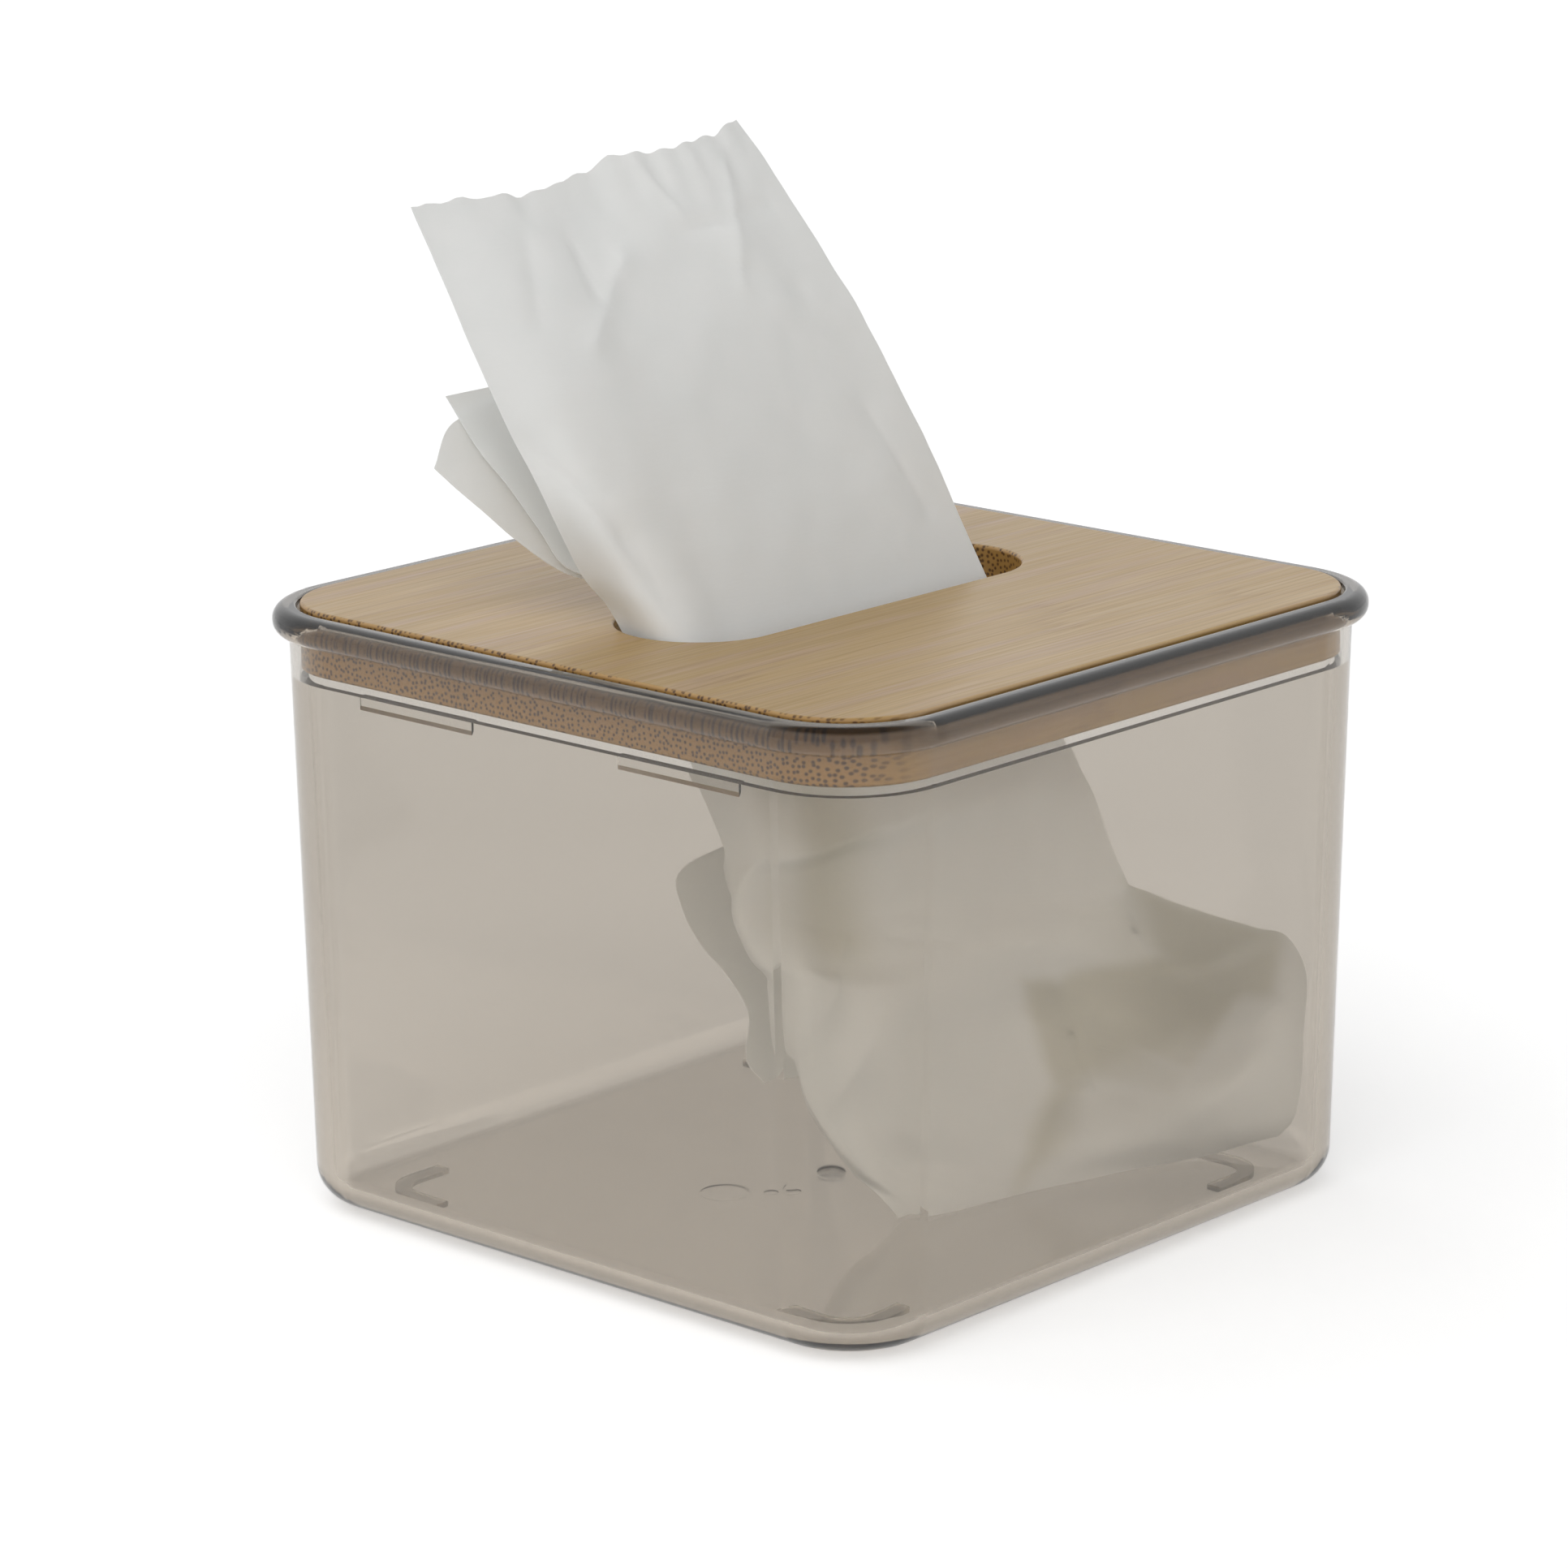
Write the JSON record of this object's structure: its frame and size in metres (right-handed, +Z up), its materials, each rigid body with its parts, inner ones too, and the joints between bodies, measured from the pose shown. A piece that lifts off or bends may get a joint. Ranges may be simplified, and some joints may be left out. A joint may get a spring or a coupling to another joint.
{
  "type": "tissue box cover",
  "caption": "Square clear plastic tub with rounded corners and a rim bead, closed by a slotted bamboo lid that lifts off, with a paper tissue drawn up through the slot.",
  "frame": {"origin": "middle of the underside, on the surface that the feet stand on", "axes": "+Z up, +X along the lid's slot and the bamboo's grain, -Y the front; the tissue leans back towards +Y"},
  "size_m": [0.115, 0.115, 0.146],
  "materials": {
    "smoke_plastic": "clear moulded plastic with a smoke tint, glossy",
    "bamboo": "sanded and lacquered bamboo, satin",
    "tissue_paper": "soft matte paper"
  },
  "bodies": {
    "container": {"container": "smoke_plastic"},
    "lid": {"lid_strip_01": "bamboo", "lid_strip_02": "bamboo", "lid_strip_03": "bamboo", "lid_strip_04": "bamboo", "lid_strip_05": "bamboo", "lid_strip_06": "bamboo", "lid_strip_07": "bamboo", "lid_strip_08_left": "bamboo", "lid_strip_08_right": "bamboo", "lid_strip_09_left": "bamboo", "lid_strip_09_right": "bamboo", "lid_strip_10": "bamboo", "lid_strip_11": "bamboo", "lid_strip_12": "bamboo", "lid_strip_13": "bamboo", "lid_strip_14": "bamboo", "lid_strip_15": "bamboo", "lid_strip_16": "bamboo"},
    "tissue": {"tissue_front": "tissue_paper", "tissue_rear": "tissue_paper"}
  },
  "joints": [
    {"name": "lid_lift", "type": "slide", "parent": "container", "child": "lid", "axis": [0, 0, 1], "range_m": [0, 0.1]},
    {"name": "tissue_pull", "type": "slide", "parent": "lid", "child": "tissue", "axis": [-0.1253, 0.4349, 0.8917], "range_m": [0, 0.02]}
  ]
}
